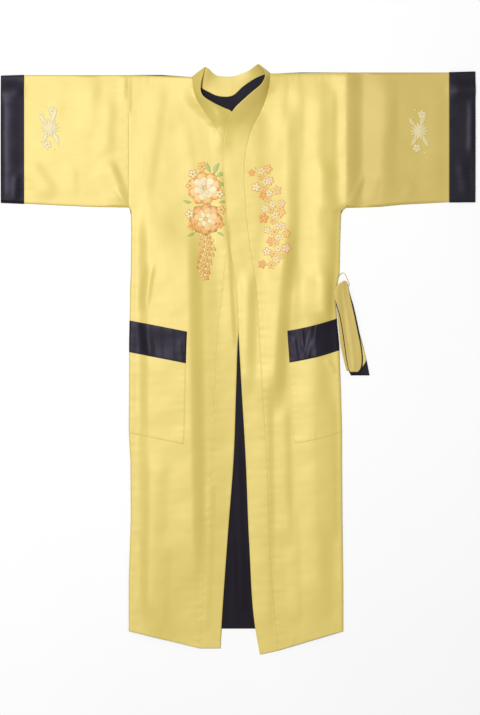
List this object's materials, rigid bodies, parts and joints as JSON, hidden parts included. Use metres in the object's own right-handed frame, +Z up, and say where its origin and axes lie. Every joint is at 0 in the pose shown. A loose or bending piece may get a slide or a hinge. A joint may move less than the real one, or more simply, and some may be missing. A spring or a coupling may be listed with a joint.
{
  "type": "kimono robe",
  "caption": "Long satin kimono robe laid flat, with wide sleeves, contrast cuffs, patch pockets, a neckband down both fronts and a folded belt hung in its side loop.",
  "frame": {"origin": "middle of the robe's box in X and Y, on the surface that the robe lies on", "axes": "+X towards the end of the wearer's left sleeve, +Y from hem to shoulder, +Z up from the surface"},
  "size_m": [1.138, 1.416, 0.0317],
  "materials": {
    "gold_satin": "polyester satin, bright side out",
    "gold_satin_turned": "the same satin with its grain turned, so that it looks darker",
    "dark_satin": "blue-black polyester satin"
  },
  "bodies": {
    "root": {"back": "gold_satin", "back_lining": "dark_satin", "front_right": "gold_satin", "front_right_lining": "dark_satin", "front_left": "gold_satin", "front_left_lining": "dark_satin", "neckband_right": "gold_satin", "neckband_left": "gold_satin", "sleeve_right": "gold_satin", "sleeve_left": "gold_satin_turned", "cuff_right": "dark_satin", "cuff_left": "dark_satin", "pocket_right": "gold_satin", "pocket_left": "gold_satin", "pocket_band_right": "dark_satin", "pocket_band_left": "dark_satin", "belt_front": "gold_satin", "belt_inner": "gold_satin", "belt_under": "gold_satin", "belt_rear": "dark_satin", "belt_loop": "gold_satin"}
  },
  "joints": []
}
